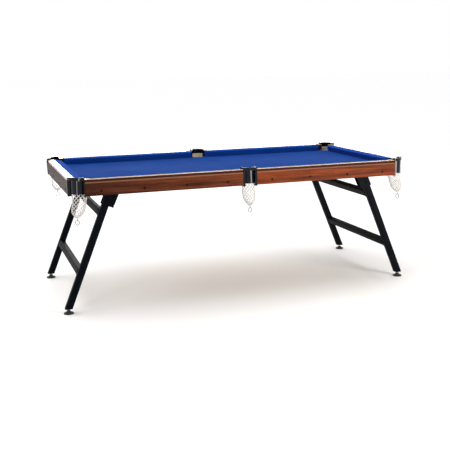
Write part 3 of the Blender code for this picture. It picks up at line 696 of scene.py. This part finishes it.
def curve_mesh(curve, name):
    """Turn a curve's round cords into a welded mesh."""
    thing = bpy.data.objects.new(name, curve)
    bpy.context.scene.collection.objects.link(thing)
    graph = bpy.context.evaluated_depsgraph_get()
    mesh = bpy.data.meshes.new_from_object(thing.evaluated_get(graph))
    bpy.data.objects.remove(thing, do_unlink=True)
    bm = bmesh.new()
    bm.from_mesh(mesh)
    bmesh.ops.remove_doubles(bm, verts=bm.verts, dist=0.000001)
    bm.to_mesh(mesh)
    bm.free()
    return mesh


def cord_curve(name, radius, resolution=1):
    """An empty curve that gives its cords a radius and closed ends."""
    curve = bpy.data.curves.new(name, "CURVE")
    curve.dimensions = "3D"
    curve.bevel_depth = radius
    curve.bevel_resolution = resolution
    curve.use_fill_caps = True
    return curve


def add_net(name, seed):
    """Knotted cord in diamonds, a rim cord round the liner, and a wrapped tip."""
    generator = random.Random(seed)
    centre = pocket_centre(name)
    mouth = MIDDLE_MOUTH if "middle" in name else CORNER_MOUTH
    hang = {
        "fold": generator.uniform(0.020, 0.045),
        "turn": generator.uniform(0.0, 2 * math.pi),
    }
    hang["lean"], hang["slim"], hang["raised"] = NET_HANGS[name]

    def knot_at(column, row):
        return net_point(centre, mouth, column, row, hang)

    curve = cord_curve(name, CORD_RADIUS)
    sag = Vector((0.0, 0.0, -CORD_SAG))
    drop = Vector((0.0, 0.0, KNOT_HALF))
    for column in range(NET_COLUMNS):
        for direction in (-0.5, 0.5):
            strand = []
            for row in range(NET_ROWS + 1):
                here = knot_at(column + direction * row, row)
                strand.append(here)
                if row < NET_ROWS:
                    there = knot_at(column + direction * (row + 1), row + 1)
                    strand.append((here + there) / 2 + sag)
            add_spline(curve, strand)
        for row in range(1, NET_ROWS):
            knot = knot_at(column + 0.5 * (row % 2), row)
            add_spline(curve, [knot + drop, knot + drop * 0.4, knot - drop * 0.4, knot - drop],
                       [0.5, 1.75, 1.75, 0.5])
    rim = [knot_at(NET_COLUMNS * i / RIM_STEPS, 0) for i in range(RIM_STEPS)]
    add_spline(curve, rim, [1.5] * RIM_STEPS, closed=True)
    tip = knot_at(0, NET_ROWS)
    tip.x = centre.x + hang["lean"][0]
    tip.y = centre.y + hang["lean"][1]
    wrap_radius, wrap_steps = 0.0042, 10
    for turn in range(3):
        level = tip + Vector((0.0, 0.0, 0.004 - 0.0023 * turn))
        wrap = [level + Vector((wrap_radius * math.cos(a), wrap_radius * math.sin(a), 0.0))
                for a in [2 * math.pi * i / wrap_steps for i in range(wrap_steps)]]
        add_spline(curve, wrap, [1.2] * wrap_steps, closed=True)
    piece = make_piece(f"{name}_net", curve_mesh(curve, f"{name}_net"), "cord", "table", 60.0)
    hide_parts(f"{name}_pocket_net")
    add_pull_ring(name, tip, generator.uniform(-0.5, 0.5), hang["turn"])


def add_pull_ring(name, tip, facing, turn):
    """A slightly uneven plastic ring on a short string under a net's tip."""
    curve = cord_curve(f"{name}_pull_ring", RING_CORD, 2)
    string = [tip + Vector((0.0, 0.0, -0.001)), tip + Vector((0.0005, 0.0, -0.006)),
              tip + Vector((0.0, 0.0, -0.011))]
    add_spline(curve, string)
    middle = tip + Vector((0.0, 0.0, -RING_DROP))
    loop = []
    for i in range(RING_STEPS):
        angle = 2 * math.pi * i / RING_STEPS
        radius = RING_RADIUS * (1 + 0.07 * math.sin(2 * angle + turn) + 0.04 * math.sin(3 * angle))
        across = radius * math.cos(angle)
        loop.append(middle + Vector((across * math.cos(facing), across * math.sin(facing),
                                     radius * math.sin(angle))))
    add_spline(curve, loop, closed=True)
    mesh = curve_mesh(curve, f"{name}_pull_ring")
    make_piece(f"{name}_pull_ring", mesh, "ring", "table", 60.0)


def add_mouth_lining(name):
    """A pale webbing band glued round the inside of the casting, from below the cloth to above it."""
    glue_gap = 0.0003
    centre = pocket_centre(name)
    if "middle" in name:
        radius, half_angle, outwards_x = MIDDLE_MOUTH - glue_gap, 87.0, 0.0
    else:
        radius, half_angle, outwards_x = CORNER_MOUTH - glue_gap, 68.0, math.copysign(1.0, centre.x)
    middle = math.degrees(math.atan2(math.copysign(1.0, centre.y), outwards_x))
    path = arc((centre.x, centre.y), radius, middle - half_angle, middle + half_angle, 40)
    low, high = CLOTH_TOP - 0.0145, RAIL_TOP - 0.0200
    rows = 8
    bm = bmesh.new()
    grid = [[bm.verts.new((x, y, low + (high - low) * row / rows)) for x, y in path]
            for row in range(rows + 1)]
    for lower, upper in zip(grid, grid[1:]):
        for i in range(len(path) - 1):
            bm.faces.new((lower[i], lower[i + 1], upper[i + 1], upper[i]))
    lining = make_piece(f"{name}_mouth_lining", finished(bm, "lining"), "webbing", "table", 60.0)
    thicken(lining)


# ---- legs -----------------------------------------------------------------------------------
def rounded_square(half, rounding, steps=4):
    """The outline of a square with rounded corners, from its half width."""
    points = []
    for quarter in range(4):
        corner = (half - rounding) * (1 if quarter in (0, 3) else -1)
        across = (half - rounding) * (1 if quarter in (0, 1) else -1)
        points += arc((corner, across), rounding, 90 * quarter, 90 * quarter + 90, steps)
    return points


def tube_rings(outer, inner, place):
    """Four rings: outside at both ends, then inside at both ends, so a tube closes on itself."""
    return [[place(point, 0) for point in outer], [place(point, 1) for point in outer],
            [place(point, 1) for point in inner], [place(point, 0) for point in inner]]


def closed_tube(bm, rings):
    """Loft the rings and join the last to the first."""
    made = loft(bm, rings, capped=False)
    for i in range(len(made[0])):
        j = (i + 1) % len(made[0])
        bm.faces.new((made[-1][i], made[-1][j], made[0][j], made[0][i]))


def weld_bead(bm, centre, normal_y, lean_matrix):
    """A lumpy weld round a crossbar's end, against the leg."""
    count, facets = 64, 6
    bead_radius = 0.0022
    outline = rounded_square(TUBE / 2 + 0.0004, TUBE_ROUNDING, 6)
    generator = random.Random(round(abs(centre.z) * 1000))
    rings = []
    for i in range(count):
        x, z = outline[i * len(outline) // count]
        size = bead_radius * (1 + 0.25 * math.sin(i * 2.1) + generator.uniform(-0.1, 0.1))
        outwards = Vector((x, 0.0, z)).normalized()
        ring = []
        for k in range(facets):
            angle = 2 * math.pi * k / facets
            local = Vector((x, 0.0, z)) + outwards * size * math.cos(angle)
            local.y = normal_y * size * math.sin(angle)
            ring.append(lean_matrix @ local + centre)
        rings.append(ring)
    closed_tube(bm, rings)


def add_leg_frame(side_name, side):
    """Two hollow legs with their foot plates, and two crossbars with their welds."""
    body = f"{side_name}_leg_frame"
    outer = rounded_square(TUBE / 2, TUBE_ROUNDING)
    inner = rounded_square(TUBE / 2 - TUBE_WALL, TUBE_ROUNDING - TUBE_WALL)
    plate = rounded_square(TUBE / 2 - TUBE_WALL + 0.0003, TUBE_ROUNDING - TUBE_WALL)
    plate_heights = (0.0006, 0.005)
    level = 1 / math.cos(math.atan(LEG_LEAN))        # how much longer a level cut is than a square one
    for row in ("front", "back"):
        low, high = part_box(f"{side_name}_{row}_leg")
        middle_y = (low.y + high.y) / 2
        foot_x = (low.x + high.x) / 2 + side * (LEG_HIGH - LEG_LOW) * LEG_LEAN / 2

        def place(point, end):
            height = LEG_LOW if end == 0 else LEG_HIGH
            return Vector((foot_x - side * (height - LEG_LOW) * LEG_LEAN + point[0] * level,
                           middle_y + point[1], height))

        bm = bmesh.new()
        closed_tube(bm, tube_rings(outer, inner, place))
        loft(bm, [[place(point, 0) + Vector((0.0, 0.0, rise)) for point in plate] for rise in plate_heights])
        piece = make_piece(f"{side_name}_{row}_leg_tube", finished(bm, "leg"), "steel", body, 40.0)
        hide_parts(f"{side_name}_{row}_leg")

    lean = Matrix.Rotation(-side * math.atan(LEG_LEAN), 3, "Y")
    for level_name in ("upper", "lower"):
        low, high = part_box(f"{side_name}_{level_name}_crossbar")
        centre = (low + high) / 2

        def bar_place(point, end):
            across = lean @ Vector((point[0], 0.0, point[1]))
            return Vector((centre.x + across.x, low.y if end == 0 else high.y, centre.z + across.z))

        bm = bmesh.new()
        closed_tube(bm, tube_rings(outer, inner, bar_place))
        mesh = finished(bm, "bar")
        piece = make_piece(f"{side_name}_{level_name}_bar_tube", mesh, "steel", body, 40.0)
        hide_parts(f"{side_name}_{level_name}_crossbar")
        bm = bmesh.new()
        for end_y, facing in ((low.y, 1), (high.y, -1)):
            weld_bead(bm, Vector((centre.x, end_y, centre.z)), facing, lean)
        make_piece(f"{side_name}_{level_name}_welds", finished(bm, "weld"), "steel", body, 60.0)


# ---- small trim -----------------------------------------------------------------------------
def turned_ring(radius, rise, count):
    """A ring of points round the Y axis, rise out from it towards -Y."""
    return [Vector((radius * math.cos(2 * math.pi * i / count), -rise,
                    radius * math.sin(2 * math.pi * i / count))) for i in range(count)]


def screw_mesh():
    """A pan head with a cross recess, facing -Y, its rim on the plane y = 0."""
    count = 32
    crown, recess_floor = 0.0021, 0.0002
    rings = [turned_ring(radius, rise, count)
             for radius, rise in ((0.0068, 0.0), (0.0068, 0.0007), (0.0060, 0.0016), (0.0042, crown))]
    recess = []
    for i in range(count):
        angle = 2 * math.pi * i / count
        reach = 0.0012 + 0.0017 * abs(math.cos(2 * angle)) ** 6
        recess.append(Vector((reach * math.cos(angle), -crown, reach * math.sin(angle))))
    rings.append(recess)
    rings.append([Vector((p.x * 0.6, -recess_floor, p.z * 0.6)) for p in recess])
    bm = bmesh.new()
    loft(bm, rings)
    return finished(bm, "screw")


def add_screws():
    """Four screws in each apron, about a third of the way up its face."""
    height = APRON_LOW + 0.34 * (APRON_HIGH - APRON_LOW)
    offsets = {"long": (0.140, 0.390, 0.640, 0.887), "end": (-0.42, -0.15, 0.15, 0.42)}
    for side, names in RUNS.items():
        for index, name in enumerate(names):
            if len(names) == 1:
                places = offsets["end"]
            else:
                places = [(-x if index == 0 else x) for x in offsets["long"]]
            for number, x in enumerate(places):
                mesh = screw_mesh()
                place = side_matrix(side) @ Matrix.Translation((x, APRON_FACE + FIXING_GAP, height))
                spin = Matrix.Rotation(0.7 * number + 0.3 * index, 4, "Y")
                mesh.transform(place @ spin)
                make_piece(f"{name}_screw_{number + 1}", mesh, "screw", "table", 40.0)


def joined(meshes, name):
    """One mesh from several."""
    bm = bmesh.new()
    for mesh in meshes:
        bm.from_mesh(mesh)
    whole = bpy.data.meshes.new(name)
    bm.to_mesh(whole)
    bm.free()
    return whole


def bolt_mesh():
    """A hexagon head on a washer, facing -Y, with the washer's back on the plane y = 0."""
    bm = bmesh.new()
    for count, radius, low, high in ((32, 0.0052, 0.0, 0.0010), (6, 0.0040, 0.0011, 0.0038)):
        steps = ((0.94, low), (1.0, low + 0.0002), (1.0, high - 0.0004), (0.90, high))
        loft(bm, [turned_ring(size * radius, rise, count) for size, rise in steps])
    return finished(bm, "bolt")


def add_underside_fixings():
    """Bolts through each bracket's top plate, and screws through the beams."""
    facing_down = Matrix.Rotation(math.radians(90), 4, "X")
    bolt_inset = 0.014
    for side in ("left", "right"):
        for row in ("front", "back"):
            low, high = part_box(f"{side}_{row}_leg_bracket")
            plate_bottom = high.z - PLATE_THICKNESS
            bolts = []
            for x in (low.x + bolt_inset, high.x - bolt_inset):
                for y in (low.y + PLATE_EDGE, high.y - PLATE_EDGE):
                    mesh = bolt_mesh()
                    mesh.transform(Matrix.Translation((x, y, plate_bottom - FIXING_GAP)) @ facing_down)
                    bolts.append(mesh)
            make_piece(f"{side}_{row}_bracket_bolts", joined(bolts, "bolts"), "zinc", "table", 40.0)
    for name, spacing in (("left_leg_beam", 0.026), ("right_leg_beam", 0.026), ("centre_beam", 0.016)):
        low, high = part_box(name)
        middle = (low + high) / 2
        screws = []
        for y in (-0.34, -0.12, 0.12, 0.34):
            for x in (-spacing, spacing):
                mesh = screw_mesh()
                mesh.transform(Matrix.Translation((middle.x + x, y, low.z - FIXING_GAP)) @ facing_down)
                screws.append(mesh)
        make_piece(f"{name}_screws", joined(screws, "screws"), "screw", "table", 40.0)


def add_trim_plates():
    """Brass-coloured plates on the rail caps beside the pockets."""
    length, rise = 0.032, 0.0009
    corner_rounding, edge_rounding = 0.004, 0.0003
    inner, outer = RAIL_INNER - CLOTH_LAP - 0.001, RAIL_EDGE + 0.0015
    for side, names in RUNS.items():
        half = SIDES[side][2] - RAIL_CORNER_END
        ends = [(-half, 1), (half, -1)]
        if len(names) == 2:
            ends += [(-RAIL_MIDDLE_END, -1), (RAIL_MIDDLE_END, 1)]
        for number, (x, direction) in enumerate(ends):
            start = x + direction * FIXING_GAP
            edges = sorted((start, start + direction * length))
            size = (edges[1] - edges[0], inner - outer, rise)
            centre = (sum(edges) / 2, (inner + outer) / 2, RAIL_TOP + rise / 2)
            place = Matrix.Translation(centre) @ Matrix.Diagonal((*size, 1.0))
            bm = bmesh.new()
            bmesh.ops.create_cube(bm, size=1.0, matrix=place)
            upright = [e for e in bm.edges if abs(e.verts[0].co.z - e.verts[1].co.z) > rise / 2]
            bmesh.ops.bevel(bm, geom=upright, offset=corner_rounding, segments=4, affect="EDGES", profile=0.5)
            bevel_edges(bm, edge_rounding, 2, 60.0)
            bm.transform(side_matrix(side))
            mesh = finished(bm, "plate")
            make_piece(f"{side}_trim_plate_{number + 1}", mesh, "brass", "table", 40.0)


# ---- the CAD pieces that stay ---------------------------------------------------------------
def dress_frame():
    """Materials for the CAD pieces that no finer piece replaces, and softer edges on some."""
    for side, names in RUNS.items():
        axis = "X" if side in ("front", "back") else "Y"
        for name in names:
            dress(f"{name}_apron", "apron_X_painted_shade" if name == "front_left" else f"apron_{axis}")
            dress(f"{name}_rail", f"rail_{axis}")
            soften(f"{name}_rail", 0.0008 if axis == "X" else 0.0016)
            soften(f"{name}_apron", 0.0008)
    for node in ("bed_board", "left_leg_beam", "right_leg_beam", "centre_beam"):
        dress(node, "board")
    for name in POCKETS:
        dress(f"{name}_pocket_casting", "casting")
        soften(f"{name}_pocket_casting", 0.0012, 3)
    for side in ("left", "right"):
        for row in ("front", "back"):
            dress(f"{side}_{row}_leg_bracket", "steel")
            soften(f"{side}_{row}_leg_bracket", 0.0005)
            dress(f"{side}_{row}_pivot_knob", "knob")
            dress(f"{side}_{row}_foot_pad", "rubber")
            dress(f"{side}_{row}_foot_stem", "zinc")


add_camera()
add_studio()
MATERIALS = make_materials()
dress_frame()
add_bed_cloth()
add_cushions()
for net_number, pocket in enumerate(POCKETS):
    add_net(pocket, NET_SEED + net_number)
    add_mouth_lining(pocket)
add_leg_frame("left", -1)
add_leg_frame("right", 1)
add_screws()
add_trim_plates()
add_underside_fixings()
